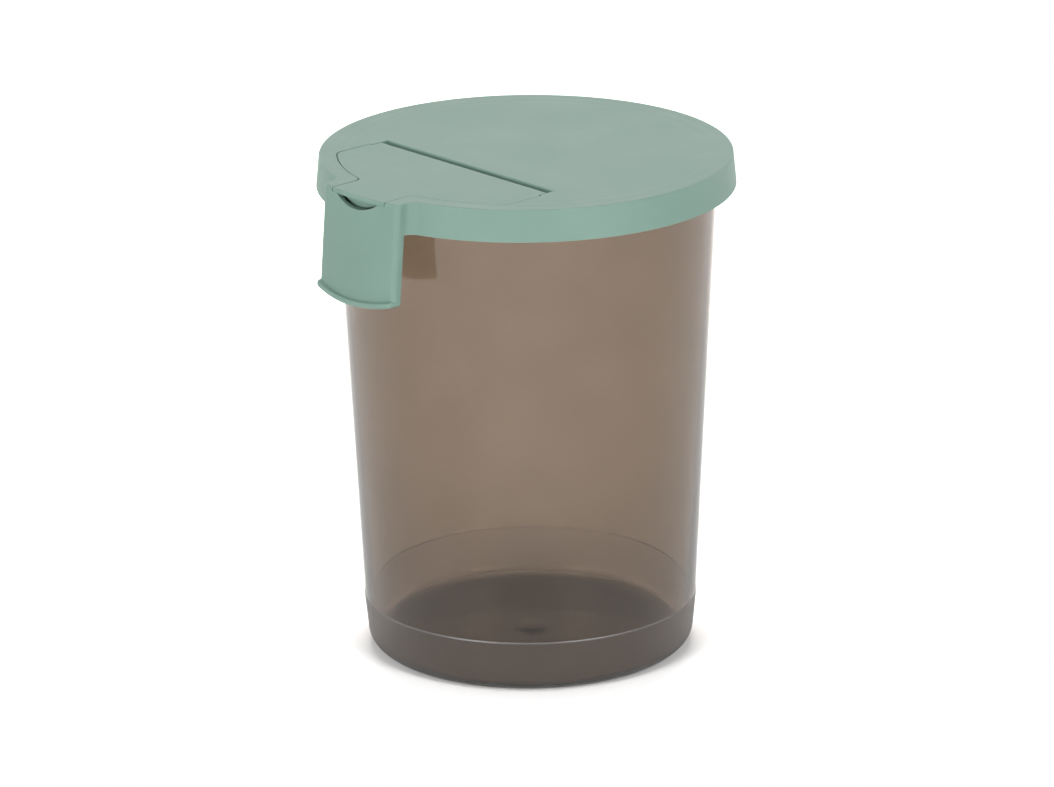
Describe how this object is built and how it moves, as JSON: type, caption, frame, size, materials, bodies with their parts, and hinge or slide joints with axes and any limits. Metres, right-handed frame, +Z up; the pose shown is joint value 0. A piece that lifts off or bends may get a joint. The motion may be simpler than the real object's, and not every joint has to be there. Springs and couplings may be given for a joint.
{
  "type": "food storage canister",
  "caption": "Round tapered see-through food canister with a press-on lid, a flush hinged pour flap over a spout, and a finger tab hanging below the spout.",
  "frame": {"origin": "centre of the base's underside, on the container's axis", "axes": "+Z up along the container's axis, -Y towards the spout and tab, +X across the spout"},
  "size_m": [0.14, 0.1495, 0.172],
  "materials": {
    "smoke_clear": "clear smoke-brown moulding, polished wall, satin base band",
    "sage_lid": "satin sage green moulding",
    "sage_flap": "satin sage green moulding"
  },
  "bodies": {
    "container": {"container_body": "smoke_clear"},
    "lid": {"lid": "sage_lid"},
    "flap": {"pour_flap": "sage_flap"}
  },
  "joints": [
    {"name": "lid_lift", "type": "slide", "parent": "container", "child": "lid", "axis": [0, 0, 1], "range_m": [0, 0.045]},
    {"name": "flap_hinge", "type": "hinge", "parent": "lid", "child": "flap", "pos_m": [0, -0.0287, 0.1704], "axis": [-1, 0, 0], "range_deg": [0, 120]}
  ]
}
